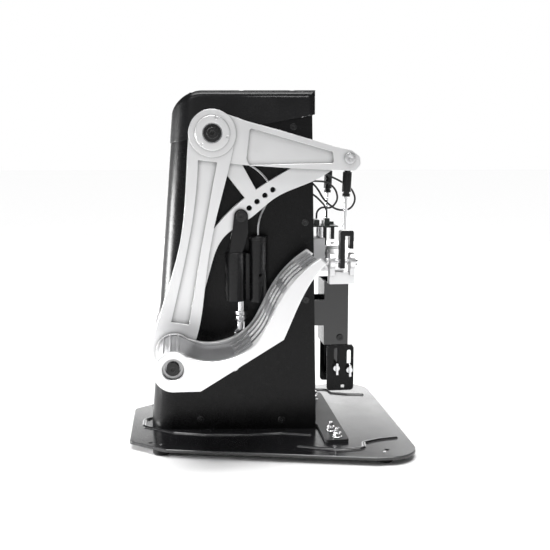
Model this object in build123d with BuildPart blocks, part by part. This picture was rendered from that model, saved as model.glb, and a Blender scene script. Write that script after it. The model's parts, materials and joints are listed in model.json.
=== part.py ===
from build123d import *
import math
import os

# Pendular rudder pedals for a flight simulator: two pedal arms hang from a tower and swing
# in opposite senses, joined by tie rods and a rocker, and each pedal tilts as a toe brake.
# Frame: +X away from the user, +Y to the user's left, +Z up, millimetres, Z = 0 on the floor.
# The right-hand half is at -Y. Left-hand pieces are its mirror images about the XZ plane.

os.makedirs("parts", exist_ok=True)

# ---- driving dimensions ----
FOOT_HEIGHT = 8.0
PLATE_THICKNESS = 4.0
PLATE_TOP = FOOT_HEIGHT + PLATE_THICKNESS
DATUM_X = -115.0          # profiles are drawn from a datum this far in front of the middle
FIT = 0.05                # radial clearance of pins, shafts and screws
SKIN = 2.0                # sheet thickness of the tower

TOWER_HEIGHT = 440.0      # height at which the upper tower section is drawn
NOSE_RADIUS = 32.0
NOSE_BOTTOM, NOSE_TOP = -42.2, -5.5
TAIL_BOTTOM, TAIL_TOP = 183.0, 175.0
TAIL_HALF = 51.0
SEAM_START = (15.9, 395.0)  # seam between shell and cap, rising to the rear
SEAM_ANGLE = 11.0
CAP_TOP = 458.5

HUB = (43.2, 401.5)       # main pivot of the arms
ANKLE = (-10.0, 125.8)    # pivot of a pedal in its arm
TIP = (220.5, 370.6)      # end of the lever that drives the tie rod
BRAKE_PIVOT = (79.5, 296.2)
BRAKE_PIN = (79.5, 140.0)
CAP_SCREWS = [(20, 23), (84, 31), (150, 39)]
ARM_INNER, ARM_OUTER = -56.0, -78.0
STRUT_OUTER = -68.0
ROD_Y = -67.0
BRAKE_Y = -63.0
PEDAL_INNER, PEDAL_OUTER = -80.0, -188.0
CHEEK = 8.0

ROCKER_PIVOT = 235.0      # height of the rocker's axis and of its end pins
ROCKER_REACH = 67.0

PLATE_OUTLINE = [(-70, 70), (-22, 108), (240, 168), (300, 168)]
FLOOR_HOLES = [(-42, 81), (260, 142)]
FOOT_SPOTS = [(-28, 88), (255, 148)]
FOOT_RADIUS = 11.0
STUD_SPOTS = [(200, 72), (204, 97)]
SHELL_SCREWS = [(150.6, 410.9), (166.5, 285.7), (167.8, 181.3), (25.0, 15.5), (135.3, 14.1)]


# ---- planes and small helpers ----
def side(y):
    """Plane seen from the right: x to the rear, second axis up from the plate's top face."""
    return Plane(origin=(DATUM_X, y, PLATE_TOP), x_dir=(1, 0, 0), z_dir=(0, -1, 0))


def level(z):
    """Horizontal plane at a height above the plate's top face."""
    return Plane(origin=(DATUM_X, 0, PLATE_TOP + z), x_dir=(1, 0, 0), z_dir=(0, 0, 1))


def cross(x):
    """Plane facing the rear, at a distance from the datum."""
    return Plane(origin=(DATUM_X + x, 0, PLATE_TOP), x_dir=(0, 1, 0), z_dir=(1, 0, 0))


def disc(plane, spot, radius, length, mode=Mode.ADD):
    """Round bar or hole standing on a plane."""
    with BuildSketch(plane) as face:
        with Locations(spot):
            Circle(radius)
    extrude(face.sketch, amount=length, mode=mode)


def block(plane, spot, width, height, length, corner=0.0, mode=Mode.ADD):
    """Rectangular bar or pocket standing on a plane, centred on a spot."""
    with BuildSketch(plane) as face:
        with Locations(spot):
            if corner > 0:
                RectangleRounded(width, height, corner)
            else:
                Rectangle(width, height)
    extrude(face.sketch, amount=length, mode=mode)


def hexagon(plane, spot, across, length, mode=Mode.ADD):
    """Hexagonal bar or socket standing on a plane."""
    with BuildSketch(plane) as face:
        with Locations(spot):
            RegularPolygon(across / 2, 6, major_radius=False)
    extrude(face.sketch, amount=length, mode=mode)


def outline(plane, curves, length, mode=Mode.ADD):
    """Solid from a closed chain of splines, each a list of points, joined end to end."""
    with BuildSketch(plane) as face:
        with BuildLine():
            for curve, following in zip(curves, curves[1:] + curves[:1]):
                if len(curve) > 2:
                    Spline(*curve)
                else:
                    Line(*curve)
                if curve[-1] != following[0]:
                    Line(curve[-1], following[0])
        make_face()
    extrude(face.sketch, amount=length, mode=mode)


def soften(body, start, radius):
    """Round the edges of the flat faces that lie on one side plane."""
    faces = body.faces().filter_by(Axis.Y).filter_by(lambda face: abs(face.center().Y - start) < FIT)
    fillet(faces.edges(), radius=radius)


def save(name, piece):
    piece.label = name
    export_step(piece, f"parts/{name}.step")


def save_pair(name, piece):
    save(f"right_{name}", piece)
    save(f"left_{name}", mirror(piece, about=Plane.XZ))


# ---- base plate, feet and floor fasteners ----
def frame_bolt_spots():
    spots = [(40, 0), (120, 0)]
    spots += [(x, sign * y) for x, y in STUD_SPOTS for sign in (-1, 1)]
    return spots


def base_plate():
    bead_radius = 3.2
    bead_sink = -1.0
    beads = [
        [(170, -76), (133, -64), (88, -66), (31, -59), (-12, -45), (-53, -14), (-53, 14), (-12, 45),
         (31, 59), (88, 66), (133, 64), (170, 76)],
        [(150, -117), (176, -127), (204, -137), (232, -134), (236, -114)],
        [(236, -114), (260, -104), (283, -100)],
        [(150, 117), (176, 127), (204, 137), (232, 134), (236, 114)],
        [(236, 114), (260, 104), (283, 100)],
    ]
    with BuildPart() as plate:
        with BuildSketch(level(-PLATE_THICKNESS)) as shape:
            with BuildLine():
                left = PLATE_OUTLINE
                right = [(x, -y) for x, y in reversed(left)]
                Polyline(*left, *right, close=True)
            make_face()
            rear = shape.vertices().group_by(Axis.X)[-1]
            fillet(rear, radius=38)
            fillet(shape.vertices().group_by(Axis.X)[0], radius=8)
        extrude(amount=PLATE_THICKNESS)
        chamfer(plate.faces().sort_by(Axis.Z)[-1].edges(), length=0.8)
        for route in beads:
            with BuildLine(level(bead_sink)) as path:
                FilletPolyline(*route, radius=9)
            start = path.line @ 0
            with BuildSketch(Plane(origin=start, z_dir=path.line % 0)):
                Circle(bead_radius)
            sweep(path=path.line)
            with Locations(start, path.line @ 1):
                Sphere(bead_radius)
        under = PLATE_TOP - PLATE_THICKNESS
        with BuildSketch(Plane.XY.offset(under)):
            Rectangle(900, 900)
        extrude(amount=-10, mode=Mode.SUBTRACT)
        for x, y in FLOOR_HOLES:
            for spot in ((x, y), (x, -y)):
                disc(level(-PLATE_THICKNESS), spot, 3.3, PLATE_THICKNESS, mode=Mode.SUBTRACT)
        for x, y in FOOT_SPOTS:
            for spot in ((x, y), (x, -y)):
                disc(level(-PLATE_THICKNESS), spot, 2.0 + FIT, PLATE_THICKNESS, mode=Mode.SUBTRACT)
        for spot in frame_bolt_spots():
            disc(level(-PLATE_THICKNESS), spot, 3.0 + FIT, PLATE_THICKNESS + 1, mode=Mode.SUBTRACT)
    return plate.part


def rubber_feet():
    floor = -PLATE_THICKNESS - FOOT_HEIGHT
    with BuildPart() as feet:
        for x, y in FOOT_SPOTS:
            for spot in ((x, y), (x, -y)):
                disc(level(floor), spot, FOOT_RADIUS, FOOT_HEIGHT)
                disc(level(floor), spot, 4.5, 4, mode=Mode.SUBTRACT)
                disc(level(floor), spot, 2.0 + FIT, FOOT_HEIGHT, mode=Mode.SUBTRACT)
        chamfer(feet.faces().sort_by(Axis.Z)[:4].edges().filter_by(
            lambda e: e.radius > FOOT_RADIUS - 1), length=1.5)
    return feet.part


def foot_screws():
    head = -PLATE_THICKNESS - FOOT_HEIGHT + 1.5
    with BuildPart() as screws:
        for x, y in FOOT_SPOTS:
            for spot in ((x, y), (x, -y)):
                disc(level(head), spot, 3.8, 2.5)
                disc(level(head), spot, 2.0, FOOT_HEIGHT + PLATE_THICKNESS - 1.5)
                hexagon(level(head), spot, 2.5, 1.2, mode=Mode.SUBTRACT)
    return screws.part


# ---- tower ----
def tower_face(height, inset, overrun=0.0):
    """Wedge-shaped tower section: a round nose and two straight flanks."""
    share = height / TOWER_HEIGHT
    centre = NOSE_BOTTOM + (NOSE_TOP - NOSE_BOTTOM) * share + NOSE_RADIUS
    tail = TAIL_BOTTOM + (TAIL_TOP - TAIL_BOTTOM) * share
    reach = tail - centre
    slope = math.atan2(TAIL_HALF, reach) - math.asin(NOSE_RADIUS / math.hypot(reach, TAIL_HALF))
    radius = NOSE_RADIUS - inset
    end = tail + overrun
    half = radius / math.cos(slope) + math.tan(slope) * (end - centre)
    touch = (centre - radius * math.sin(slope), radius * math.cos(slope))
    with BuildSketch(level(height)) as face:
        with BuildLine():
            ThreePointArc((touch[0], -touch[1]), (centre - radius, 0), touch)
            Line(touch, (end, half))
            Line((end, half), (end, -half))
            Line((end, -half), (touch[0], -touch[1]))
        make_face()
    return face.sketch


def tower_solid(bottom, top, inset, overrun, mode=Mode.ADD):
    sections = [tower_face(bottom, inset, overrun), tower_face(top, inset, overrun)]
    loft(sections, ruled=True, mode=mode)


def seam_plane(lift=0.0):
    tilt = math.radians(SEAM_ANGLE)
    x, z = SEAM_START
    return Plane(origin=(DATUM_X + x, 0, PLATE_TOP + z + lift), x_dir=(math.cos(tilt), 0, math.sin(tilt)),
                 z_dir=(-math.sin(tilt), 0, math.cos(tilt)))


def tower_shell():
    with BuildPart() as shell:
        tower_solid(0, TOWER_HEIGHT, 0, 0)
        block(seam_plane(), (80, 0), 500, 300, 200, mode=Mode.SUBTRACT)
        tower_solid(-1, TOWER_HEIGHT + 30, SKIN, 12, mode=Mode.SUBTRACT)
        disc(side(80), HUB, 20.5, 160, mode=Mode.SUBTRACT)
        for spot in SHELL_SCREWS:
            disc(side(80), spot, 2.0 + FIT, 160, mode=Mode.SUBTRACT)
    return shell.part


def cap_profile(inset):
    """Side view of the cap: big radius at the front, small one at the rear."""
    front = -10.5 + inset
    top = CAP_TOP - inset
    back = 180.5 - inset
    with BuildSketch(side(90)) as face:
        with BuildLine():
            Polyline((front, 360), (front, top), (back, top), (back, 360), close=True)
        make_face()
        upper = face.vertices().group_by(Axis.Y)[-1].sort_by(Axis.X)
        fillet(upper[0], radius=44 - inset)
        fillet(upper[-1], radius=10 - inset)
    return face.sketch


def cap_core():
    """Hollow of the cap, with a boss left standing round each screw."""
    with BuildPart() as core:
        tower_solid(300, CAP_TOP + 10, 1.2, 14)
        extrude(cap_profile(2.5), amount=180, mode=Mode.INTERSECT)
        for x, y in CAP_SCREWS:
            for spot in ((x, y), (x, -y)):
                disc(level(CAP_TOP - 14), spot, 6.5, 14, mode=Mode.SUBTRACT)
    return core.part


def tower_cap():
    overhang = 1.3
    with BuildPart() as cap:
        tower_solid(370, CAP_TOP + 5, -overhang, 6)
        extrude(cap_profile(0), amount=180, mode=Mode.INTERSECT)
        block(seam_plane(0.3), (80, 0), 500, 300, -200, mode=Mode.SUBTRACT)
        rim = cap.edges().filter_by(lambda e: (e @ 0.5).Z > PLATE_TOP + CAP_TOP - 46)
        rim = rim.filter_by(lambda e: abs((e @ 0.5).Y) > 20 and e.length > 30)
        fillet(rim, radius=9)
        add(cap_core(), mode=Mode.SUBTRACT)
        for x, y in CAP_SCREWS:
            for spot in ((x, y), (x, -y)):
                disc(level(CAP_TOP - 6), spot, 4.6, 8, mode=Mode.SUBTRACT)
                disc(level(CAP_TOP - 16), spot, 2.0 + FIT, 16, mode=Mode.SUBTRACT)
        disc(side(80), HUB, 20.5, 160, mode=Mode.SUBTRACT)
    return cap.part



def cap_screws():
    head = CAP_TOP - 6
    with BuildPart() as screws:
        for x, y in CAP_SCREWS:
            disc(level(head), (x, -y), 4.0, 3)
            disc(level(head - 22), (x, -y), 2.0, 22)
            hexagon(level(head + 3), (x, -y), 2.5, -1.8, mode=Mode.SUBTRACT)
        mirror(about=Plane.XZ)
    return screws.part


def side_screw(spot, inner, outer, shank, head, height, socket):
    """Socket screw along Y on the right: its head's seat is at y = outer."""
    disc(side(inner), spot, shank, inner - outer)
    disc(side(outer), spot, head, height)
    hexagon(side(outer - height), spot, socket, -0.6 * height, mode=Mode.SUBTRACT)


def flank(spot):
    """Half width of the tower's outer face at a point of its side view."""
    x, height = spot
    share = height / TOWER_HEIGHT
    centre = NOSE_BOTTOM + (NOSE_TOP - NOSE_BOTTOM) * share + NOSE_RADIUS
    reach = TAIL_BOTTOM + (TAIL_TOP - TAIL_BOTTOM) * share - centre
    slope = math.atan2(TAIL_HALF, reach) - math.asin(NOSE_RADIUS / math.hypot(reach, TAIL_HALF))
    return NOSE_RADIUS / math.cos(slope) + math.tan(slope) * (x - centre)


def shell_screws():
    """Button screws of the shell, and the two of the spring cover."""
    seat_lift = 0.6
    with BuildPart() as screws:
        for spot in SHELL_SCREWS:
            seat = -flank(spot) - seat_lift
            side_screw(spot, seat + 12, seat, 2.0, 4.5, 2.6, 3.0)
        side_screw(COVER_SCREW, -COVER_HALF + 5, -COVER_HALF, 2.0, 4.5, 2.6, 3.0)
        mirror(about=Plane.XZ)
    return screws.part


# ---- inner frame ----
def inner_frame():
    """Welded frame: foot, rear wall, side walls, screw tabs and the shelves that hold the cap."""
    wall = 4
    shelf = 424
    with BuildPart() as holes:
        disc(side(40), HUB, 19 + FIT, 80)
        for spot in SHELL_SCREWS:
            for start in (60, -18):
                disc(side(start), spot, 2.0 + FIT, 42)
        for x, y in CAP_SCREWS:
            for spot in ((x, y), (x, -y)):
                disc(level(shelf - 4), spot, 2.0 + FIT, 12)
        for y in (-24, 24):
            block(cross(160), (y, 338), 26, 36, 12, corner=6)
        for spot in frame_bolt_spots():
            disc(level(-1), spot, 3.0 + FIT, 8)
    with BuildPart() as foot:
        block(level(0), (85, 0), 160, 56, wall)
        block(level(0), (25, 0), 16, 64, wall)
        block(level(0), (135.3, 0), 16, 85.6, wall)
        block(level(0), (191, 0), 52, 88, wall)
        block(level(0), (202, 0), 32, 216, wall, corner=5)
    plates = [foot.part]
    uprights = [((166.5, 0), (3, 89), 415)]
    for sign in (-1, 1):
        uprights.append(((95, sign * 26), (140, wall), shelf))
        uprights.append(((155, sign * 43), (20, 3), 415))
        uprights.append(((25, sign * 30.5), (16, 3), 26))
        uprights.append(((135.3, sign * 41.3), (16, 3), 26))
    for spot, (width, depth), top in uprights:
        with BuildPart() as upright:
            block(level(wall), spot, width, depth, top - wall)
        plates.append(upright.part)
    for (x, y), depth in zip(CAP_SCREWS, (16, 14, 14)):
        with BuildPart() as rest:
            block(level(shelf), (max(x, 24), 0), depth, 2 * y + 8, wall)
        plates.append(rest.part)
    return Compound(children=[(plate - holes.part).solids()[0] for plate in plates])


def frame_bolts():
    with BuildPart() as bolts:
        for spot in frame_bolt_spots():
            disc(level(-PLATE_THICKNESS), spot, 5.5, -3)
            disc(level(-PLATE_THICKNESS), spot, 3.0, PLATE_THICKNESS + 16)
            disc(level(4), spot, 6.5, 1)
            hexagon(level(5), spot, 10, 5)
            disc(level(4), spot, 3.0, 12)
    return bolts.part


def shaft_housing():
    with BuildPart() as housing:
        disc(side(53.5), HUB, 19, 107)
        for sign in (-1, 1):
            disc(side(sign * 22 + 1.9), HUB, 23, 3.8)
        disc(side(60), HUB, 10 + FIT, 120, mode=Mode.SUBTRACT)
    return housing.part


def pivot_shaft():
    with BuildPart() as shaft:
        disc(side(79), HUB, 10, 158)
        disc(side(79), HUB, 4 + FIT, 24, mode=Mode.SUBTRACT)
        disc(side(-79), HUB, 4 + FIT, -24, mode=Mode.SUBTRACT)
    return shaft.part


def hub_bolts():
    with BuildPart() as bolts:
        disc(side(-58), HUB, 4, 21)
        disc(side(-79), HUB, 11.5, 3)
        disc(side(-82), HUB, 7, 3)
        hexagon(side(-85), HUB, 6, -3, mode=Mode.SUBTRACT)
        mirror(about=Plane.XZ)
    return bolts.part


# ---- rear mechanism ----
def pivot_block():
    with BuildPart() as body:
        block(level(218), (185, 0), 30, 32, 43)
        block(level(206), (172, 0), 8, 46, 58)
        chamfer(body.edges().filter_by(Axis.Y).group_by(Axis.Z)[-1], length=2)
        disc(cross(160), (0, ROCKER_PIVOT), 9 + FIT, 60, mode=Mode.SUBTRACT)
        block(cross(160), (0, ROCKER_PIVOT), 24, 24, 17, mode=Mode.SUBTRACT)
    return body.part


def rocker_bearings():
    with BuildPart() as races:
        for x in (178, 195):
            disc(cross(x), (0, ROCKER_PIVOT), 9, 5)
            disc(cross(x), (0, ROCKER_PIVOT), 5 + FIT, 5, mode=Mode.SUBTRACT)
    return races.part


def rocker():
    """Balance beam with a clevis at each end for the drop link's pin."""
    with BuildPart() as beam:
        with BuildSketch(cross(206)) as profile:
            with BuildLine():
                Polyline((-60, 206), (-57, 205), (-34, 219), (34, 219), (57, 205), (60, 206), (60, 220),
                         (50, 222), (16, 246), (-16, 246), (-50, 222), (-60, 220), close=True)
            make_face()
        extrude(profile.sketch, amount=14)
        disc(cross(203.5), (0, ROCKER_PIVOT), 14, 19)
        for sign in (-1, 1):
            end = sign * ROCKER_REACH
            block(cross(196), (end - 2 * sign, 213), 14, 16, 34)
            for x in (196, 223):
                block(cross(x), (end, 226), 16, 18, 7)
                disc(cross(x), (end, ROCKER_PIVOT), 12, 7)
            disc(cross(190), (end, ROCKER_PIVOT), 3 + FIT, 50, mode=Mode.SUBTRACT)
        disc(cross(190), (0, ROCKER_PIVOT), 5 + FIT, 50, mode=Mode.SUBTRACT)
    return beam.part


def rocker_shaft():
    """Shaft with its sensor magnet at the front and its retaining ring at the rear."""
    with BuildPart() as shaft:
        disc(cross(172), (0, ROCKER_PIVOT), 5, 55)
        disc(cross(224.5), (0, ROCKER_PIVOT), 4.4, 1.6, mode=Mode.SUBTRACT)
        disc(cross(224.5), (0, ROCKER_PIVOT), 4.4, 1.6)
        disc(cross(170), (0, ROCKER_PIVOT), 4, 2)
    with BuildPart() as ring:
        disc(cross(224.6), (0, ROCKER_PIVOT), 7.5, 1.4)
        disc(cross(224), (0, ROCKER_PIVOT), 5 + FIT, 3, mode=Mode.SUBTRACT)
    return Compound(children=[*shaft.part.solids(), *ring.part.solids()])


def rocker_pins():
    with BuildPart() as pins:
        for sign in (-1, 1):
            end = sign * ROCKER_REACH
            disc(cross(192), (end, ROCKER_PIVOT), 3, 38)
            disc(cross(230), (end, ROCKER_PIVOT), 5.5, 4)
            hexagon(cross(234), (end, ROCKER_PIVOT), 4, -2.5, mode=Mode.SUBTRACT)
            hexagon(cross(192), (end, ROCKER_PIVOT), 9, 3.8)
    return pins.part


COVER_FRONT, COVER_REAR = 198.0, 232.0
COVER_HALF = 26.0
COVER_BOTTOM, COVER_TOP = 112.0, 202.0
COVER_SCREW = (220.5, 122.5)
SPRING_LENGTH = 144.5
WING_BOLTS = {"front": (214.8, 80.0), "rear": (233.2, 77.0)}


def spring_cover():
    """Black sheet box round the centring springs, with cheeks for the wing bolts below."""
    middle = (COVER_FRONT + COVER_REAR) / 2
    with BuildPart() as cover:
        block(level(COVER_BOTTOM), (middle, 0), 34, 2 * COVER_HALF, COVER_TOP - COVER_BOTTOM)
        block(level(COVER_BOTTOM - 1), (middle, 0), 30, 2 * COVER_HALF - 4, 100, mode=Mode.SUBTRACT)
        for y in (-25, 25):
            block(level(69), (223, y), 30, 2, COVER_BOTTOM - 69)
            block(level(140), (183, y), 30, 2, 36)
            block(level(140), (170, y + math.copysign(5, y)), 4, 12, 36)
        for spot in [*WING_BOLTS.values()]:
            disc(side(60), spot, 2.5 + FIT, 120, mode=Mode.SUBTRACT)
        block(side(60), (233.2, 96), 8, 22, 120, corner=2, mode=Mode.SUBTRACT)
        disc(side(60), COVER_SCREW, 2.0 + FIT, 120, mode=Mode.SUBTRACT)
    return cover.part


def spring_carriage():
    """Slotted plates that slide on the cheeks, joined by the bar that holds the springs."""
    with BuildPart() as carriage:
        for sign in (-1, 1):
            near = 28.8 if sign > 0 else -26.3
            with BuildSketch(side(near)) as plate:
                with Locations((221, 79.5)):
                    RectangleRounded(38, 65, 5)
                for x, z in WING_BOLTS.values():
                    with Locations((x, z + 10)):
                        SlotOverall(36, 5.6, rotation=90, mode=Mode.SUBTRACT)
                with Locations((224.5, 52.5)):
                    Rectangle(5, 5, mode=Mode.SUBTRACT)
            extrude(plate.sketch, amount=2.5)
        block(level(56), (215, 0), 14, 56, 6)
    return carriage.part


def centring_springs():
    """Outer form of the two tension springs."""
    with BuildPart() as springs:
        for y in (-14, 14):
            disc(level(62), (215, y), 6, SPRING_LENGTH)
            disc(level(62), (215, y), 4, SPRING_LENGTH, mode=Mode.SUBTRACT)
    return springs.part


def wing_bolt(spot):
    seat = -28.9
    with BuildPart() as bolt:
        disc(side(-23), spot, 2.5, 9)
        disc(side(seat), spot, 4.6, 5)
        for sign in (-1, 1):
            with BuildSketch(side(seat - 1)) as wing:
                with BuildLine():
                    x, z = spot
                    Polyline((x - 1.2, z), (x - 1.8, z + 8.6 * sign), (x + 1.8, z + 8.6 * sign),
                             (x + 1.2, z), close=True)
                make_face()
                fillet(wing.vertices().group_by(Axis.Y)[-1 if sign > 0 else 0], radius=1.5)
            extrude(wing.sketch, amount=9)
    return bolt.part


def control_board():
    """Circuit board with its connectors and its USB socket."""
    with BuildPart() as board:
        block(level(277), (198.5, 0), 37, 46, 1.6)
        for x, y, height in ((188, -14, 8), (188, 2, 8), (202, -15, 10), (202, 4, 6)):
            block(level(278.6), (x, y), 7, 11, height)
        block(level(278.6), (212, 14), 10, 9, 3.4)
        block(cross(208), (14, 280.3), 6.5, 1.8, 10, mode=Mode.SUBTRACT)
    return board.part


def board_standoffs():
    with BuildPart() as posts:
        for x in (182, 195):
            for y in (-11, 11):
                disc(level(261), (x, y), 2.8, 16)
    return posts.part


def hall_sensor():
    with BuildPart() as sensor:
        block(cross(168), (0, ROCKER_PIVOT), 20, 18, 1.2)
        block(cross(169.2), (0, ROCKER_PIVOT), 4, 4, 0.5)
    return sensor.part


# ---- leads, each a run of straight stretches and tangent arcs ----
LEAD_RADIUS = 1.3
LOOP_ROUTES = [
    [(160, -17, 346), (174, -19, 343), (187, -24, 331), (196, -26, 314), (214, -28, 300), (233, -27, 301),
     (241, -25, 315), (234, -24, 331), (217, -22, 341), (197, -19, 350), (176, -16, 351), (160, -15, 349)],
    [(160, -20, 338), (178, -22, 340), (200, -24, 339), (213, -23, 329), (217, -20, 314), (208, -17, 302),
     (195, -15, 304), (188.5, -14, 298), (188, -14, 288)],
    [(160, -21, 330), (175, -23, 326), (187, -22, 318), (199, -19, 306), (202, -15, 298), (202, -15, 289.5)],
]
SENSOR_ROUTE = [(102.3, -63, 271), (102.4, -62.4, 281), (105, -57.4, 293), (111, -53, 305),
                (119, -52.5, 319), (119, -52.5, 338), (105, -52.5, 354), (86, -52.5, 366),
                (69, -52.5, 379), (64, -52.5, 391)]


def lead(route, radius):
    """Round lead along a route, with arcs as large as its runs allow."""
    points = [Vector(x + DATUM_X, y, z + PLATE_TOP) for x, y, z in route]
    bends = []
    for before, corner, after in zip(points, points[1:], points[2:]):
        turn = math.radians((corner - before).get_angle(after - corner))
        shorter = min((corner - before).length, (after - corner).length)
        bends.append(0.45 * shorter / math.tan(turn / 2))
    with BuildPart() as tube:
        with BuildLine() as path:
            FilletPolyline(*points, radius=bends)
        with BuildSketch(Plane(origin=path.line @ 0, z_dir=path.line % 0)):
            Circle(radius)
        sweep(path=path.line)
    length = sum(edge.length for edge in path.line.edges())
    ratio = tube.part.volume / (length * math.pi * radius ** 2)
    print("lead radii", [round(bend, 1) for bend in bends], "volume ratio", round(ratio, 3))
    return tube.part


def wire_harness():
    return Compound(children=[lead(route, LEAD_RADIUS).solids()[0] for route in LOOP_ROUTES])


# ---- pedal arm ----
HUB_RADIUS = 30.0
ANKLE_RADIUS = 28.5


def arm():
    lever_top = [(46, 431), (88, 416.5), (130, 405.5), (202, 385), (222, 381)]
    lever_bottom = [(228, 354), (142, 357.6), (84, 361.6), (48, 366)]
    leg_left = [(-38, 134), (-18.4, 194), (1, 263), (9.5, 340), (13.4, 398)]
    leg_right = [(73, 402), (61.5, 348), (45, 285), (33, 215), (25.5, 160), (18, 132)]
    strut_bottom = [(200, 356), (176, 341.6), (124, 319), (91.5, 293), (58, 269.5), (39, 226), (30, 195)]
    strut_top = [(20, 215), (43, 278), (57, 294.5), (85.6, 320), (113.5, 339), (146, 358)]
    brace = [(61, 350), (86, 318), (100, 329), (80, 365), (62, 375)]
    leg_pocket = [[(-12.5, 160), (0, 211), (13.6, 273), (25, 368)], [(49, 365), (30, 266.6), (10.5, 156)]]
    lever_pocket = [(90, 361.5), (200, 364), (198.5, 378.5), (91, 408.5), (86.5, 370)]
    with BuildPart() as body:
        outline(side(ARM_INNER), [leg_left, leg_right], ARM_INNER - ARM_OUTER)
        disc(side(-54.5), HUB, HUB_RADIUS, 25.5)
        disc(side(ARM_INNER), ANKLE, ANKLE_RADIUS, ARM_INNER - ARM_OUTER)
        with BuildSketch(side(ARM_INNER)) as lever:
            with BuildLine():
                Polyline(*lever_top, (234, 372), (235, 362), *lever_bottom, close=True)
            make_face()
            fillet(lever.vertices().filter_by(lambda v: v.X > 225), radius=5)
        extrude(lever.sketch, amount=20)
        outline(side(ARM_INNER), [strut_bottom, strut_top], ARM_INNER - STRUT_OUTER)
        outline(side(ARM_INNER), [[a, b] for a, b in zip(brace, brace[1:] + brace[:1])], 12)
        outline(side(ARM_OUTER), leg_pocket, -5, mode=Mode.SUBTRACT)
        with BuildSketch(side(ARM_OUTER)) as panel:
            with BuildLine():
                Polyline(*lever_pocket, close=True)
            make_face()
            fillet(panel.vertices(), radius=3)
        extrude(panel.sketch, amount=-6, mode=Mode.SUBTRACT)
        disc(side(-50), HUB, 19 + FIT, 40, mode=Mode.SUBTRACT)
        disc(side(-50), ANKLE, 7 + FIT, 40, mode=Mode.SUBTRACT)
        disc(side(-50), TIP, 3.5 + FIT, 40, mode=Mode.SUBTRACT)
        disc(side(-50), BRAKE_PIVOT, 4 + FIT, 40, mode=Mode.SUBTRACT)
        for step in range(4):
            x = 90.4 + 10.3 * step
            z = 306.3 + 8.6 * step - 0.25 * step * step
            disc(side(-50), (x, z), 3.6, 30, mode=Mode.SUBTRACT)
        block(side(-62.3), (222, 368), 36, 42, 9.4, mode=Mode.SUBTRACT)
    return body.part


def bearings():
    """Two ball bearings of the arm's hub and two bushes on the pedal's axle."""
    with BuildPart() as rings:
        for start in (-55, -70):
            disc(side(start), HUB, 19, 8)
            disc(side(start), HUB, 10 + FIT, 8, mode=Mode.SUBTRACT)
        for start in (-80.4, -170):
            disc(side(start), ANKLE, 9, 10)
            disc(side(start), ANKLE, 7 + FIT, 10, mode=Mode.SUBTRACT)
    return rings.part


def hub_cover():
    with BuildPart() as ring:
        disc(side(-80), HUB, 22, 2)
        disc(side(-79), HUB, 12.6, 4, mode=Mode.SUBTRACT)
        for angle in (75, 225, 345):
            with BuildSketch(side(-82)) as notch:
                with Locations((HUB[0], HUB[1])):
                    with PolarLocations(20.5, 1, start_angle=angle):
                        Rectangle(5, 3)
            extrude(notch.sketch, amount=-1.2, mode=Mode.SUBTRACT)
    return ring.part


def pedal_axle():
    with BuildPart() as axle:
        disc(side(-56.5), ANKLE, 7, 125.5)
        disc(side(-78.1), ANKLE, 11, 1.6)
        disc(side(-182), ANKLE, 3 + FIT, -20, mode=Mode.SUBTRACT)
    return axle.part


def arm_bolts():
    """Axle end bolt, brake fork bolt with its nut, and lever tip bolt with its nut."""
    with BuildPart() as bolts:
        side_screw(ANKLE, -164, -182.4, 3.0, 8, 4, 5)
        side_screw(BRAKE_PIVOT, -50, -72.4, 4.0, 7, 4, 5)
        hexagon(side(-47), BRAKE_PIVOT, 11, 4.6)
        side_screw(TIP, -52, -76.1, 3.5, 7, 4, 5)
        hexagon(side(-50.8), TIP, 10, 5)
    return bolts.part


# ---- tie rod ----
ROD_FOOT = (216.3, 277.5)


def rod_plane(distance):
    """Plane across the tie rod, at a distance below the lever's tip bolt."""
    drop = Vector(ROD_FOOT[0] - TIP[0], 0, ROD_FOOT[1] - TIP[1]).normalized()
    start = Vector(TIP[0] + DATUM_X, ROD_Y, TIP[1] + PLATE_TOP)
    return Plane(origin=start + drop * distance, x_dir=(0, 1, 0), z_dir=drop)


def rod_end():
    """Spherical rod end in the lever's slot, with its threaded sleeve and lock nut."""
    with BuildPart() as end:
        disc(side(-62.8), TIP, 8.5, 8.4)
        disc(rod_plane(6), (0, 0), 4.1, 14)
        disc(rod_plane(18), (0, 0), 6, 26)
        disc(rod_plane(46), (0, 0), 5.2, 4)
        disc(rod_plane(44), (0, 0), 4.0, 2)
        disc(side(-60), TIP, 3.5 + FIT, 20, mode=Mode.SUBTRACT)
        disc(rod_plane(20), (0, 0), 2.6 + FIT, 40, mode=Mode.SUBTRACT)
    return end.part


def tie_rod():
    length = math.hypot(ROD_FOOT[0] - TIP[0], ROD_FOOT[1] - TIP[1])
    with BuildPart() as rod:
        disc(rod_plane(24), (0, 0), 2.6, length - 24)
    return rod.part


def drop_link():
    """Black hook that hangs on the rocker's pin and carries the foot of the tie rod."""
    with BuildPart() as link:
        with BuildSketch(Plane(origin=(DATUM_X, ROD_Y - 7, PLATE_TOP), x_dir=(1, 0, 0),
                               z_dir=(0, -1, 0))) as face:
            with BuildLine():
                Polyline((210, 226), (216.5, 226), (216.5, 269), (222.5, 269), (222.5, 252), (228, 252),
                         (228, 276.2), (210, 276.2), close=True)
            make_face()
            fillet(face.vertices().group_by(Axis.Y)[-1], radius=3)
        extrude(face.sketch, amount=-14)
        disc(cross(200), (ROD_Y, ROCKER_PIVOT), 3 + FIT, 30, mode=Mode.SUBTRACT)
    return link.part


# ---- pedal ----
FOOT_CURVE = [(-28, 127), (-23, 139.5), (-10, 144.8), (4, 141), (24, 131.5), (44, 130.3), (64, 134.5),
              (83, 146.5), (96, 160), (107, 180), (121, 208), (133, 225), (148, 238), (165, 249)]
RIB_ZONES = [(6, 9), (9, 11), (11, 13)]
RIB_CENTRES = (-104, -126, -148, -170)


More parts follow.
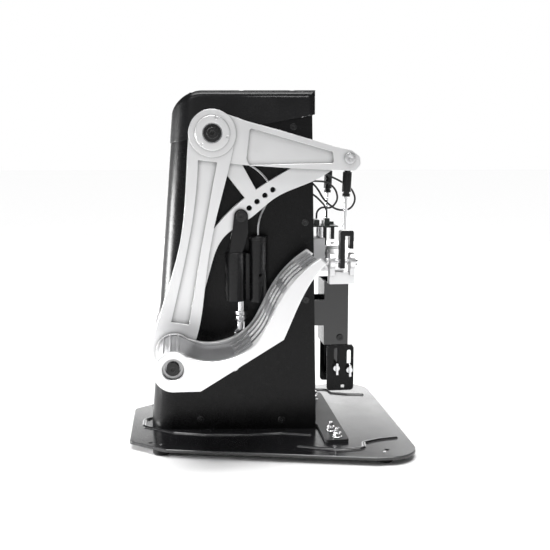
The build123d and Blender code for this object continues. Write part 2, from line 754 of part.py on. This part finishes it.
def shifted(points, dx, dz):
    return [(x + dx, z + dz) for x, z in points]


def pedal():
    top = [(-9, 146.5), (12, 138.5), (35, 134), (60, 138), (85, 152), (101.5, 176.5), (121, 213), (146, 241),
           (164, 254)]
    back = [(171.6, 248), (151, 223), (134.6, 191), (120.4, 158)]
    cheek = [top, [(164, 254), (171.6, 248)], back, [(120.4, 158), (92, 140.7)], [(92, 140.7), (22, 98.4)],
             [(22, 98.4), (-9, 98.6)]]
    boss = (-9, 122.5)
    with BuildPart() as body:
        for start in (PEDAL_INNER, PEDAL_OUTER + CHEEK):
            outline(side(start), cheek, CHEEK)
            disc(side(start), boss, 24, CHEEK)
        disc(side(PEDAL_INNER), ANKLE, 13, 104)
        for spot, radius in (((62, 126), 5), ((115, 180), 5), ((152, 232), 5)):
            disc(side(PEDAL_INNER), spot, radius, 104)
        disc(side(-70), ANKLE, 9 + FIT, 120, mode=Mode.SUBTRACT)
        disc(side(PEDAL_OUTER), ANKLE, 12.5, -5.8, mode=Mode.SUBTRACT)
        disc(side(-70), BRAKE_PIN, 4 + FIT, 18, mode=Mode.SUBTRACT)
        soften(body, PEDAL_OUTER, 1.2)
        soften(body, PEDAL_INNER, 0.8)
    return body.part


def foot_plate():
    width = PEDAL_INNER - PEDAL_OUTER - 2 * CHEEK - 0.2
    start = PEDAL_INNER - CHEEK - 0.1
    with BuildPart() as plate:
        under = shifted(FOOT_CURVE, 2.4, -3.2)
        outline(side(start), [FOOT_CURVE, list(reversed(under))], width)
        for first, last in RIB_ZONES:
            run = FOOT_CURVE[first:last + 1]
            raised = shifted(run, -0.9, 1.2)
            sunk = shifted(run, 1.2, -1.6)
            for centre in RIB_CENTRES:
                outline(side(centre + 5.5), [raised, list(reversed(sunk))], 11)
        for spot in ((-26, 132.5), (-21.5, 140.3), (-13, 144.2), (-4, 143.9)):
            disc(side(start), spot, 1.8, width)
        for spot, radius in (((62, 126), 5.2), ((115, 180), 5.2), ((152, 232), 5.2)):
            disc(side(start), spot, radius, width, mode=Mode.SUBTRACT)
    return plate.part


def brake_pin():
    with BuildPart() as pin:
        disc(side(-57), BRAKE_PIN, 4, 30.8)
        disc(side(-78), BRAKE_PIN, 6, 2)
    return pin.part


# ---- toe brake unit ----
BARREL_SPOT = (72.5, BRAKE_Y)
ROD_SPOT = (BRAKE_PIVOT[0], BRAKE_Y)
SENSOR_SPOT = (102.3, BRAKE_Y)
BARREL_BOTTOM, BARREL_TOP = 184.5, 248.5


def brake_fork():
    with BuildPart() as fork:
        with BuildSketch(side(-52)) as face:
            with BuildLine():
                Polyline((70.5, 296.2), (88.5, 296.2), (88.5, 274), (81, BARREL_TOP), (64, BARREL_TOP),
                         (68, 274), close=True)
            make_face()
            with Locations(BRAKE_PIVOT):
                Circle(9)
        extrude(face.sketch, amount=20)
        block(side(-55.7), (79, 287), 40, 44, 12.6, mode=Mode.SUBTRACT)
        disc(side(-50), BRAKE_PIVOT, 4 + FIT, 24, mode=Mode.SUBTRACT)
    return fork.part


def brake_barrel():
    with BuildPart() as barrel:
        disc(level(BARREL_BOTTOM), BARREL_SPOT, 13.5, BARREL_TOP - BARREL_BOTTOM)
        block(level(BARREL_BOTTOM + 2), (86, BRAKE_Y + 3), 16, 12, BARREL_TOP - BARREL_BOTTOM - 4)
        disc(level(150), SENSOR_SPOT, 11.8 + FIT, 150, mode=Mode.SUBTRACT)
        disc(level(BARREL_BOTTOM + 4), ROD_SPOT, 5.4, 49, mode=Mode.SUBTRACT)
        disc(level(BARREL_BOTTOM - 1), ROD_SPOT, 4.1, 10, mode=Mode.SUBTRACT)
        chamfer(barrel.edges().filter_by(lambda e: e.geom_type == GeomType.CIRCLE and e.radius > 13), 0.6)
    return barrel.part


def sensor_barrel():
    with BuildPart() as barrel:
        disc(level(182.6), SENSOR_SPOT, 11.8, 82)
        disc(level(264.6), SENSOR_SPOT, 12.4, 4.4)
        disc(level(269), SENSOR_SPOT, 3, 1.4)
        disc(side(-60), (104, 219), 2.2, 20, mode=Mode.SUBTRACT)
        rims = barrel.edges().filter_by(lambda e: e.geom_type == GeomType.CIRCLE and e.radius > 11)
        chamfer([rims.sort_by(Axis.Z)[0], rims.sort_by(Axis.Z)[-1]], 0.5)
    return barrel.part


def brake_spring():
    """Outer form of the return spring between the piston and the barrel's lower end."""
    with BuildPart() as spring:
        disc(level(BARREL_BOTTOM + 4.1), ROD_SPOT, 5.2, 38)
        disc(level(BARREL_BOTTOM + 4.1), ROD_SPOT, 4.2, 38, mode=Mode.SUBTRACT)
    return spring.part


def piston_rod():
    """Piston rod with its two lock nuts and the rod end on the pedal's pin."""
    head = BARREL_BOTTOM + 42.3
    x, y = ROD_SPOT
    with BuildPart() as rod:
        disc(level(157), ROD_SPOT, 4, head - 157)
        disc(level(head), ROD_SPOT, 5.3, 4)
    with BuildPart() as nuts:
        for height in (159, 165.5):
            hexagon(level(height), ROD_SPOT, 12, 5)
            disc(level(height), ROD_SPOT, 4 + FIT, 5, mode=Mode.SUBTRACT)
    with BuildPart() as eye:
        disc(side(BRAKE_Y + 4), BRAKE_PIN, 9.5, 8)
        disc(level(146), ROD_SPOT, 5.5, 11)
        disc(side(BRAKE_Y + 8), BRAKE_PIN, 5.7, 16, mode=Mode.SUBTRACT)
    return Compound(children=[*rod.part.solids(), *nuts.part.solids(), *eye.part.solids()])


# ---- write the pieces ----
CHASSIS = {
    "base_plate": base_plate,
    "rubber_feet": rubber_feet,
    "foot_screws": foot_screws,
    "tower_shell": tower_shell,
    "tower_cap": tower_cap,
    "cap_screws": cap_screws,
    "shell_screws": shell_screws,
    "inner_frame": inner_frame,
    "frame_bolts": frame_bolts,
    "shaft_housing": shaft_housing,
    "pivot_shaft": pivot_shaft,
    "hub_bolts": hub_bolts,
    "pivot_block": pivot_block,
    "rocker_bearings": rocker_bearings,
    "rocker": rocker,
    "rocker_shaft": rocker_shaft,
    "rocker_pins": rocker_pins,
    "spring_cover": spring_cover,
    "spring_carriage": spring_carriage,
    "centring_springs": centring_springs,
    "control_board": control_board,
    "board_standoffs": board_standoffs,
    "hall_sensor": hall_sensor,
    "wire_harness": wire_harness,
}
SIDES = {
    "arm": arm,
    "bearings": bearings,
    "hub_cover": hub_cover,
    "pedal_axle": pedal_axle,
    "arm_bolts": arm_bolts,
    "rod_end": rod_end,
    "tie_rod": tie_rod,
    "drop_link": drop_link,
    "pedal": pedal,
    "foot_plate": foot_plate,
    "brake_pin": brake_pin,
    "brake_fork": brake_fork,
    "brake_barrel": brake_barrel,
    "sensor_barrel": sensor_barrel,
    "brake_spring": brake_spring,
    "piston_rod": piston_rod,
}

for name, maker in CHASSIS.items():
    save(name, maker())
for name, maker in SIDES.items():
    save_pair(name, maker())
save_pair("sensor_lead", lead(SENSOR_ROUTE, LEAD_RADIUS))
for name, spot in WING_BOLTS.items():
    save(f"wing_bolt_{name}", wing_bolt(spot))
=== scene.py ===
"""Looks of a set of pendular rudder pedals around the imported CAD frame.

The studio, the finishes, rounded copies of the rigid parts, the foot plates' treads and the
coil springs. Lengths are in metres and the axes are the frame's, +Z up.
"""

import json
import math

import bmesh
import bpy
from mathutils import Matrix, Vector
from mathutils.bvhtree import BVHTree


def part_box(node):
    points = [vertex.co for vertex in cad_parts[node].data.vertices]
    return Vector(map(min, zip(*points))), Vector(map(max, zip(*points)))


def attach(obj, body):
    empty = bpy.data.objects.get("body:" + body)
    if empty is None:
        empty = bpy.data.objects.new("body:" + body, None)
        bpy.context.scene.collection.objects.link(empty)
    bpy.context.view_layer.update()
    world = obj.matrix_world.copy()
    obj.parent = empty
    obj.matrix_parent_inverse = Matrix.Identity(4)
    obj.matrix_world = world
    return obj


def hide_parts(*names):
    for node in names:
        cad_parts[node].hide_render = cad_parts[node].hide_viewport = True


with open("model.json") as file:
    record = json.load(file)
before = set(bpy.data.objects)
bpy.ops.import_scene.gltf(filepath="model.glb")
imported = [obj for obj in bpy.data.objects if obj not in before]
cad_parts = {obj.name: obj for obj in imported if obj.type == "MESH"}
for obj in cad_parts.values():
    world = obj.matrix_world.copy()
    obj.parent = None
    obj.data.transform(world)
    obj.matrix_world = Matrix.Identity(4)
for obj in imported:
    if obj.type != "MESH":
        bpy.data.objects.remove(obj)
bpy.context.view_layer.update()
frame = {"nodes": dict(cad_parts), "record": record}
BODY_OF = {node: body for body, nodes in frame["record"]["behaviour"]["bodies"].items()
           for node in nodes}
SLOT_OF = {part["node"]: part["material_slot"] for part in frame["record"]["subparts"]}
SIDES = (("right", -1), ("left", 1))     # each side's name and its sign along Y

# ---- studio ----
CAMERA_PLACE = (-0.115, -1.1025, 0.380)
CAMERA_YAW = 6.84             # degrees to the right of +Y
CAMERA_PITCH = 8.18           # degrees below the horizon
CAMERA_LENS = 52.36           # mm
SENSOR_WIDTH = 36.0           # mm
BACKGROUND = 1.0              # what the camera sees behind the object
SURROUND = 0.10               # the white room's light on the object
FLOOR_SIZE = 60.0
FLOOR_TONE = 0.86
AIM = Vector((0.0, 0.0, 0.22))           # where the softboxes point
SOFTBOXES = {                 # place, width, height, watts
    "front_card": ((-0.5, -2.6, 0.7), 2.4, 2.0, 3.2),
    "key_softbox": ((-0.9, -1.5, 1.2), 0.8, 0.8, 4.0),
    "top_strip": ((0.0, -0.55, 1.5), 1.4, 0.14, 5.0),
    "nose_strip": ((-1.20, 0.10, 0.10), 0.45, 0.6, 42.0),
    "left_card": ((-2.4, 1.2, 0.35), 2.4, 0.8, 8.0),
    "back_card": ((0.6, 2.6, 0.45), 4.2, 0.9, 42.0),
    "rear_softbox": ((1.0, 1.4, 1.1), 1.0, 1.0, 3.0),
}
SUN_STRENGTH = 3.6
SUN_SPREAD = 50               # degrees across, so that its shadows are soft
SUN_PLACE = (-0.1, -0.3, 2.0)


def look_at(obj, target):
    """Turn a lamp so that it shines at the target."""
    obj.rotation_mode = "QUATERNION"
    obj.rotation_quaternion = (Vector(target) - obj.location).to_track_quat("-Z", "Y")


def make_camera():
    data = bpy.data.cameras.new("camera")
    data.lens = CAMERA_LENS
    data.sensor_width = SENSOR_WIDTH
    camera = bpy.data.objects.new("camera", data)
    bpy.context.scene.collection.objects.link(camera)
    camera.location = CAMERA_PLACE
    camera.rotation_euler = (math.radians(90.0 - CAMERA_PITCH), 0.0, math.radians(-CAMERA_YAW))
    bpy.context.scene.camera = camera


def make_lights():
    """The softboxes, and a wide soft sun as the white ceiling."""
    for name, (place, width, height, watts) in SOFTBOXES.items():
        data = bpy.data.lights.new(name, "AREA")
        data.shape = "RECTANGLE"
        data.size, data.size_y, data.energy = width, height, watts
        light = bpy.data.objects.new(name, data)
        bpy.context.scene.collection.objects.link(light)
        light.location = place
        look_at(light, AIM)
    data = bpy.data.lights.new("ceiling", "SUN")
    data.energy = SUN_STRENGTH
    data.angle = math.radians(SUN_SPREAD)
    sun = bpy.data.objects.new("ceiling", data)
    bpy.context.scene.collection.objects.link(sun)
    sun.location = SUN_PLACE
    look_at(sun, (0, 0, 0))


def make_room():
    """White background that lights the object only a little, and a pale floor."""
    world = bpy.data.worlds.new("white_room")
    bpy.context.scene.world = world
    world.use_nodes = True
    nodes, links = world.node_tree.nodes, world.node_tree.links
    nodes.clear()
    path = nodes.new("ShaderNodeLightPath")
    lit, seen = nodes.new("ShaderNodeBackground"), nodes.new("ShaderNodeBackground")
    lit.inputs["Strength"].default_value = SURROUND
    seen.inputs["Strength"].default_value = BACKGROUND
    for shade in (lit, seen):
        shade.inputs["Color"].default_value = (1, 1, 1, 1)
    pick, out = nodes.new("ShaderNodeMixShader"), nodes.new("ShaderNodeOutputWorld")
    links.new(path.outputs["Is Camera Ray"], pick.inputs[0])
    links.new(lit.outputs[0], pick.inputs[1])
    links.new(seen.outputs[0], pick.inputs[2])
    links.new(pick.outputs[0], out.inputs["Surface"])
    mesh = bpy.data.meshes.new("floor")
    half = FLOOR_SIZE / 2
    corners = [(-half, -half, 0), (half, -half, 0), (half, half, 0), (-half, half, 0)]
    mesh.from_pydata(corners, [], [(0, 1, 2, 3)])
    floor = bpy.data.objects.new("floor", mesh)
    bpy.context.scene.collection.objects.link(floor)
    floor.data.materials.append(
        finish("floor_white", (FLOOR_TONE,) * 3, 0.75, mottle=0.01, grain=60, depth=0.0))


# ---- finishes ----
FINE_DETAIL = 3.0             # octaves of the grain
BROAD_SCALE = 23.0            # size of the mottling
BROAD_DETAIL = 5.0
MOTTLE_SPAN = (0.3, 0.7)      # the part of the broad noise that the mottling spreads out
ROUGH_SPAN = (0.7, 1.3)       # the part of both noises' sum that the roughness spreads out
ROUGH_SPREAD = 0.06           # how far the roughness strays either way
ROUGH_LEAST = 0.02
BEVEL_SAMPLES = 4
EDGE_SPAN = (0.995, 0.90)     # cosine of bevelled to flat normal, from none to full edge wear and painted highlight
PATCH_SPAN = (0.75, 1.15)     # the part of both noises' sum that makes the edge wear and painted highlight patchy
PATCH_LEAST = 0.25            # share of the edge wear and painted highlight in the least lightened patches
# painted shade: ambient occlusion darkens the colour in inner corners and recesses
PAINTED_SHADE_SAMPLES = 6
PAINTED_SHADE_REACH = 0.007           # how far from a corner the painted shade reaches
PAINTED_SHADE_SPAN = (0.9, 0.35)      # openness, from no painted shade to full painted shade
PAINTED_SHADE_COLOUR = (0.05, 0.05, 0.052, 1)


def noise(tree, place, scale, detail):
    """Noise of this scale over the given coordinates."""
    node = tree.nodes.new("ShaderNodeTexNoise")
    node.inputs["Scale"].default_value = scale
    node.inputs["Detail"].default_value = detail
    tree.links.new(place, node.inputs["Vector"])
    return node.outputs["Fac"]


def remap(tree, value, span, low=0.0, high=1.0):
    """The value with its span stretched to run from low to high."""
    node = tree.nodes.new("ShaderNodeMapRange")
    node.inputs["From Min"].default_value, node.inputs["From Max"].default_value = span
    node.inputs["To Min"].default_value = low
    node.inputs["To Max"].default_value = high
    tree.links.new(value, node.inputs["Value"])
    return node.outputs[0]


def combine(tree, operation, first, second):
    """Sum or product of two values."""
    node = tree.nodes.new("ShaderNodeMath")
    node.operation = operation
    tree.links.new(first, node.inputs[0])
    tree.links.new(second, node.inputs[1])
    return node.outputs[0]


def colour_mix(tree, factor, over):
    """Mix node whose second colour is over; its first is left for the caller."""
    node = tree.nodes.new("ShaderNodeMix")
    node.data_type = "RGBA"
    node.inputs["B"].default_value = over
    tree.links.new(factor, node.inputs["Factor"])
    return node


def finish(name, colour, roughness, metallic=0.0, specular=0.5, grain=900.0, depth=0.00003,
           stretch=(1, 1, 1), mottle=0.12, edge=0.0, edge_wear_and_highlight=(0.5, 0.5, 0.5), wear_and_highlight_share=0.6, painted_shade=0.0):
    """Procedural finish: grain in the bump, mottled colour and roughness, rounded edges
    lightened as edge wear and painted highlight.

    edge is the radius that the shading gives to edges, and painted_shade darkens the inner
    corners as painted shade.
    """
    material = bpy.data.materials.new(name)
    material.use_nodes = True
    tree = material.node_tree
    nodes, links = tree.nodes, tree.links
    shader = nodes["Principled BSDF"]
    shader.inputs["Metallic"].default_value = metallic
    shader.inputs["Specular IOR Level"].default_value = specular
    place = nodes.new("ShaderNodeTexCoord").outputs["Object"]
    slide = nodes.new("ShaderNodeMapping")
    slide.inputs["Scale"].default_value = stretch
    links.new(place, slide.inputs["Vector"])
    fine = noise(tree, slide.outputs[0], grain, FINE_DETAIL)
    broad = noise(tree, place, BROAD_SCALE, BROAD_DETAIL)
    blend = combine(tree, "ADD", fine, broad)

    light = (*[min(1.0, c * (1 + mottle)) for c in colour], 1)
    tint = colour_mix(tree, remap(tree, broad, MOTTLE_SPAN), light)
    tint.inputs["A"].default_value = (*[c * (1 - mottle) for c in colour], 1)
    tinted = tint.outputs["Result"]
    rough = remap(tree, blend, ROUGH_SPAN, max(ROUGH_LEAST, roughness - ROUGH_SPREAD),
                  roughness + ROUGH_SPREAD)
    links.new(rough, shader.inputs["Roughness"])
    bump = nodes.new("ShaderNodeBump")
    bump.inputs["Strength"].default_value = 1.0
    bump.inputs["Distance"].default_value = depth
    links.new(fine, bump.inputs["Height"])

    # Edge wear and painted highlight: the colour is lightened along the rounded edges, in
    # patches.
    if edge:
        rounded = nodes.new("ShaderNodeBevel")
        rounded.samples = BEVEL_SAMPLES
        rounded.inputs["Radius"].default_value = edge
        along = nodes.new("ShaderNodeVectorMath")
        along.operation = "DOT_PRODUCT"
        links.new(rounded.outputs[0], along.inputs[0])
        links.new(nodes.new("ShaderNodeNewGeometry").outputs["Normal"], along.inputs[1])
        near = remap(tree, along.outputs["Value"], EDGE_SPAN)
        patchy = remap(tree, blend, PATCH_SPAN, PATCH_LEAST * wear_and_highlight_share, wear_and_highlight_share)
        top = colour_mix(tree, combine(tree, "MULTIPLY", near, patchy), (*edge_wear_and_highlight, 1))
        links.new(tinted, top.inputs["A"])
        tinted = top.outputs["Result"]
        links.new(rounded.outputs[0], bump.inputs["Normal"])
    # Painted shade: ambient occlusion darkens the colour in inner corners and recesses.
    if painted_shade:
        hollow = nodes.new("ShaderNodeAmbientOcclusion")
        hollow.samples = PAINTED_SHADE_SAMPLES
        hollow.inputs["Distance"].default_value = PAINTED_SHADE_REACH
        painted_shade_mask = remap(tree, hollow.outputs["AO"], PAINTED_SHADE_SPAN, high=painted_shade)
        painted_shade_mix = colour_mix(tree, painted_shade_mask, PAINTED_SHADE_COLOUR)
        links.new(tinted, painted_shade_mix.inputs["A"])
        tinted = painted_shade_mix.outputs["Result"]
    links.new(tinted, shader.inputs["Base Color"])
    links.new(bump.outputs[0], shader.inputs["Normal"])
    return material


BRUSHED = (1, 0.08, 1)        # grain drawn out along Y, across the foot plates
# each finish's edge colour is edge wear and painted highlight along its rounded edges
FINISHES = {
    "plate_paint": dict(colour=(0.010, 0.010, 0.011), roughness=0.20, specular=0.75, grain=700,
                        depth=0.00001, edge=0.0008, edge_wear_and_highlight=(0.25, 0.25, 0.25)),
    "tower_paint": dict(colour=(0.0022, 0.0022, 0.0025), roughness=0.27, specular=0.20,
                        grain=1100, depth=0.00002, edge=0.0008, edge_wear_and_highlight=(0.06, 0.06, 0.06)),
    "foot_rubber": dict(colour=(0.012, 0.012, 0.012), roughness=0.8, specular=0.3, grain=600,
                        depth=0.00006),
    "cap_plastic": dict(colour=(0.004, 0.004, 0.0045), roughness=0.26, specular=0.34,
                        grain=1500, edge=0.0012, edge_wear_and_highlight=(0.05, 0.05, 0.05)),
    "frame_paint": dict(colour=(0.02, 0.02, 0.021), roughness=0.5, specular=0.4, edge=0.0006),
    "dark_steel": dict(colour=(0.008, 0.008, 0.0085), roughness=0.24, metallic=0.2,
                       grain=1300, edge=0.0003, edge_wear_and_highlight=(0.55, 0.55, 0.55), wear_and_highlight_share=0.9),
    "bright_steel": dict(colour=(0.72, 0.72, 0.73), roughness=0.22, metallic=1.0, grain=1800,
                         depth=0.00001, edge=0.0003, edge_wear_and_highlight=(0.9, 0.9, 0.9)),
    "bearing_steel": dict(colour=(0.6, 0.6, 0.62), roughness=0.25, metallic=1.0, edge=0.0003),
    # arm_metal and tread_metal darken their inner corners with painted shade
    "arm_metal": dict(colour=(0.84, 0.84, 0.845), roughness=0.34, metallic=0.86, grain=1700,
                      mottle=0.02, edge=0.0009, edge_wear_and_highlight=(0.98, 0.98, 0.98), painted_shade=0.75),
    "tread_metal": dict(colour=(0.50, 0.50, 0.51), roughness=0.33, metallic=0.9, grain=420,
                        stretch=BRUSHED, depth=0.00001, edge=0.0004,
                        edge_wear_and_highlight=(0.85, 0.85, 0.85), painted_shade=0.5),
    "grey_casting": dict(colour=(0.75, 0.75, 0.76), roughness=0.5, metallic=0.5,
                         depth=0.00008, edge=0.0006, edge_wear_and_highlight=(0.9, 0.9, 0.9)),
    "black_anodised": dict(colour=(0.004, 0.004, 0.0045), roughness=0.26, specular=0.32,
                           grain=1500, edge=0.0005, edge_wear_and_highlight=(0.16, 0.16, 0.16)),
    "spring_steel": dict(colour=(0.45, 0.45, 0.47), roughness=0.25, metallic=1.0),
    "board": dict(colour=(0.010, 0.016, 0.013), roughness=0.35, edge=0.0004,
                  edge_wear_and_highlight=(0.2, 0.2, 0.2)),
    "lead_jacket": dict(colour=(0.01, 0.01, 0.01), roughness=0.42, specular=0.45, grain=500),
    "lead_pale": dict(colour=(0.42, 0.42, 0.43), roughness=0.5, specular=0.4, grain=500),
}
make_room()
make_camera()
make_lights()
bpy.context.scene.view_settings.view_transform = "Standard"
MATERIALS = {slot: finish(slot, **values) for slot, values in FINISHES.items()}
RIB_BRIGHT = finish("rib_bright", (0.93, 0.93, 0.935), 0.28, metallic=0.8, grain=1700,
                    depth=0.00001, mottle=0.03, edge=0.0004, edge_wear_and_highlight=(0.98, 0.98, 0.98))
# painted shade: a dark sheet laid in the valleys between the tread ribs
GAP_PAINTED_SHADE = finish("gap_painted_shade", (0.05, 0.05, 0.052), 0.5, metallic=0.5, grain=420,
                  stretch=BRUSHED, depth=0.00001)

# ---- rounded copies of the rigid parts ----
LEADS = {"wire_harness", "right_sensor_lead", "left_sensor_lead"}
SPRINGS = {"centring_springs", "right_brake_spring", "left_brake_spring"}
PLAIN = {"tower_shell", "tower_cap", "base_plate", "right_arm", "left_arm", "right_pedal",
         "left_pedal", "right_foot_plate", "left_foot_plate"}   # shown as their CAD meshes
WIDTHS = {"rocker": 0.0006, "spring_cover": 0.0006, "right_hub_cover": 0.0005,
          "left_hub_cover": 0.0005}
FINE_WIDTH = 0.0003           # edge rounding of the small turned and milled parts
JOIN_WITHIN = 2e-6            # vertices nearer than this are one
HARD = math.radians(28)       # edges sharper than this are rounded
FLAT = math.radians(0.6)      # faces nearer to level than this are joined
SHARP = math.radians(40)      # edges sharper than this break the smooth shading


def piece_from(name, mesh, body, slot):
    """A new piece with this mesh, already in the shared frame, riding on a body."""
    piece = bpy.data.objects.new(name, mesh)
    bpy.context.scene.collection.objects.link(piece)
    mesh.materials.clear()
    mesh.materials.append(MATERIALS[slot])
    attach(piece, body)
    return piece


def round_edges(source, width):
    """The node's mesh with its flat faces joined and its hard edges rounded to width."""
    work = bmesh.new()
    work.from_mesh(source.data)
    bmesh.ops.remove_doubles(work, verts=work.verts, dist=JOIN_WITHIN)
    bmesh.ops.dissolve_limit(work, angle_limit=FLAT, verts=work.verts, edges=work.edges)
    hard = [edge for edge in work.edges
            if len(edge.link_faces) == 2 and edge.calc_face_angle(0.0) > HARD]
    bmesh.ops.bevel(work, geom=hard, offset=width, segments=2, profile=0.5, affect="EDGES",
                    clamp_overlap=False)
    many_sided = [face for face in work.faces if len(face.verts) > 4]
    bmesh.ops.triangulate(work, faces=many_sided)
    mesh = bpy.data.meshes.new(source.name + "_rounded")
    work.to_mesh(mesh)
    work.free()
    mesh.shade_smooth()
    mesh.set_sharp_from_angle(angle=SHARP)
    return mesh


def add_rounded(name):
    """Replace a CAD node by its rounded copy, with flat faces that shade flat."""
    mesh = round_edges(frame["nodes"][name], WIDTHS.get(name, FINE_WIDTH))
    piece = piece_from(name + "_finished", mesh, BODY_OF[name], SLOT_OF[name])
    even = piece.modifiers.new("even_shading", "WEIGHTED_NORMAL")
    even.keep_sharp = True
    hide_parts(name)


def paint(mesh, material, chosen):
    """Give this material to the faces that chosen picks by their centre."""
    mesh.materials.append(material)
    index = len(mesh.materials) - 1
    for face in mesh.polygons:
        if chosen(face.center):
            face.material_index = index


# ---- treads of the foot plates ----
TREADS = [(-0.0300, -0.0095), (-0.0040, 0.0060), (0.0110, 0.0320)]   # the three groups along X
RIB_CENTRES = (0.104, 0.126, 0.148, 0.170)                           # across, from the middle
RIB_HALF = 0.0060
RIB_RISE = 0.0006
RIB_CROWN = 0.0004            # how much higher a rib is along its middle
GAPS = [(0.0885, 0.0976), (0.1104, 0.1196), (0.1324, 0.1416), (0.1544, 0.1636),
        (0.1764, 0.1796)]     # dark strips of painted shade between the ribs
GAP_RISE = 0.00015
STRIP_STEPS = 22
SHOULDER = 0.15               # share of a strip's width taken by each sloping side
SHOULDER_RISE = 0.3           # height of the slope's foot, as a share of the rise
END_HEIGHT = 0.35             # height of a strip's ends, as a share of its own
END_SLOPE = 3.0
ABOVE = 0.5                   # a height over the whole object, to look down from
TREAD_SHARP = math.radians(50)


def foot_surface(tree, x, y):
    """Point and normal on the top of the foot plate."""
    point, normal, _, _ = tree.ray_cast(Vector((x, y, ABOVE)), Vector((0, 0, -1)))
    return point, normal


def strip(work, tree, start, end, near, far, rise, crown):
    """A crowned bar that follows the foot plate along X, between two Y values."""
    middle = (near + far) / 2
    profile = [(near, -rise), (near, rise * SHOULDER_RISE),
               (near * (1 - SHOULDER) + far * SHOULDER, rise), (middle, rise + crown),
               (near * SHOULDER + far * (1 - SHOULDER), rise),
               (far, rise * SHOULDER_RISE), (far, -rise)]
    rings = []
    for step in range(STRIP_STEPS + 1):
        x = start + (end - start) * step / STRIP_STEPS
        point, normal = foot_surface(tree, x, middle)
        normal = Vector((normal.x, 0, normal.z)).normalized()
        from_end = min(step, STRIP_STEPS - step)
        taper = min(1.0, END_HEIGHT + END_SLOPE * from_end / STRIP_STEPS)
        rings.append([work.verts.new((point.x + normal.x * lift * taper, y,
                                      point.z + normal.z * lift * taper))
                      for y, lift in profile])
    for ring, following in zip(rings, rings[1:]):
        for index in range(len(profile)):
            after = (index + 1) % len(profile)
            work.faces.new((ring[index], ring[after], following[after], following[index]))
    work.faces.new(rings[0][::-1])
    work.faces.new(rings[-1])


def add_treads(label, sign):
    """The bright ribs of one foot plate, and the dark strips of painted shade between them."""
    foot_plate = frame["nodes"][label + "_foot_plate"]
    tree = BVHTree.FromObject(foot_plate, bpy.context.evaluated_depsgraph_get())
    ribs = [(y - RIB_HALF, y + RIB_HALF) for y in RIB_CENTRES]
    for name, material, rows, rise, crown in (
            ("_tread_ribs", RIB_BRIGHT, ribs, RIB_RISE, RIB_CROWN),
            ("_tread_gap_shade", GAP_PAINTED_SHADE, GAPS, GAP_RISE, 0.0)):
        work = bmesh.new()
        for start, end in TREADS:
            for near, far in rows:
                strip(work, tree, start, end, sign * near, sign * far, rise, crown)
        bmesh.ops.recalc_face_normals(work, faces=work.faces)
        mesh = bpy.data.meshes.new(label + name)
        work.to_mesh(mesh)
        work.free()
        mesh.shade_smooth()
        mesh.set_sharp_from_angle(angle=TREAD_SHARP)
        piece = piece_from(label + name, mesh, label + "_pedal", "tread_metal")
        piece.data.materials[0] = material


# ---- coil springs ----
WIRE = 0.0009                 # radius of the centring springs' wire
CENTRING_TURNS = 52
BRAKE_TURNS = 16
STEPS_PER_TURN = 20
WIRE_SIDES = 8
END_REACH = 0.35              # how far out the wire's ends are, as a share of the radius
END_SHARE = 12                # the ends turn in over one part in this many of the length


def coil(name, node, spot, low, high, radius, wire_radius, turns):
    """Close-wound spring on a vertical line, with its ends turned in, for a CAD sleeve."""
    steps = turns * STEPS_PER_TURN
    verts, faces = [], []
    for step in range(steps + 1):
        share = step / steps
        angle = 2 * math.pi * turns * share
        tuck = min(1.0, share * END_SHARE, (1 - share) * END_SHARE)
        reach = radius * (END_REACH + (1 - END_REACH) * tuck)
        centre = Vector((spot[0] + reach * math.cos(angle), spot[1] + reach * math.sin(angle),
                         low + (high - low) * share))
        out = Vector((math.cos(angle), math.sin(angle), 0))
        for side in range(WIRE_SIDES):
            turn = 2 * math.pi * side / WIRE_SIDES
            rim = out * math.cos(turn) + Vector((0, 0, math.sin(turn)))
            verts.append(centre + wire_radius * rim)
    for step in range(steps):
        for side in range(WIRE_SIDES):
            a = step * WIRE_SIDES + side
            b = step * WIRE_SIDES + (side + 1) % WIRE_SIDES
            faces.append((a, b, b + WIRE_SIDES, a + WIRE_SIDES))
    last = steps * WIRE_SIDES
    faces.append(tuple(range(WIRE_SIDES)))
    faces.append(tuple(range(last + WIRE_SIDES - 1, last - 1, -1)))
    mesh = bpy.data.meshes.new(name)
    mesh.from_pydata([tuple(v) for v in verts], [], faces)
    mesh.validate()
    mesh.shade_smooth()
    return piece_from(name, mesh, BODY_OF[node], "spring_steel")


# ---- the pieces ----
BOLT_TIP = 0.09               # the arm bolts are bright steel beyond this, along X

for name in sorted(set(frame["nodes"]) - LEADS - SPRINGS - PLAIN):
    add_rounded(name)

low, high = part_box("centring_springs")
middle_x = (low.x + high.x) / 2
half_width = (high.x - low.x) / 2
for label, sign in SIDES:
    line = (middle_x, sign * (high.y - half_width))
    spring = coil("centring_coil_" + label, "centring_springs", line, low.z + WIRE,
                  high.z - WIRE, half_width - WIRE, WIRE, CENTRING_TURNS)
    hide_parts("centring_springs")
for label, _ in SIDES:
    node = label + "_brake_spring"
    low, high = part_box(node)
    middle = (low + high) / 2
    spring = coil(label + "_brake_coil", node, (middle.x, middle.y), low.z + WIRE,
                  high.z - WIRE, (high.x - low.x) / 2 - WIRE / 2, WIRE / 2, BRAKE_TURNS)
    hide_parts(node)

for name, node in frame["nodes"].items():
    node.data.materials.clear()
    node.data.materials.append(MATERIALS[SLOT_OF[name]])

for label, sign in SIDES:
    add_treads(label, sign)
for label, _ in SIDES:
    paint(bpy.data.objects[label + "_arm_bolts_finished"].data, MATERIALS["bright_steel"],
          lambda centre: centre.x > BOLT_TIP)
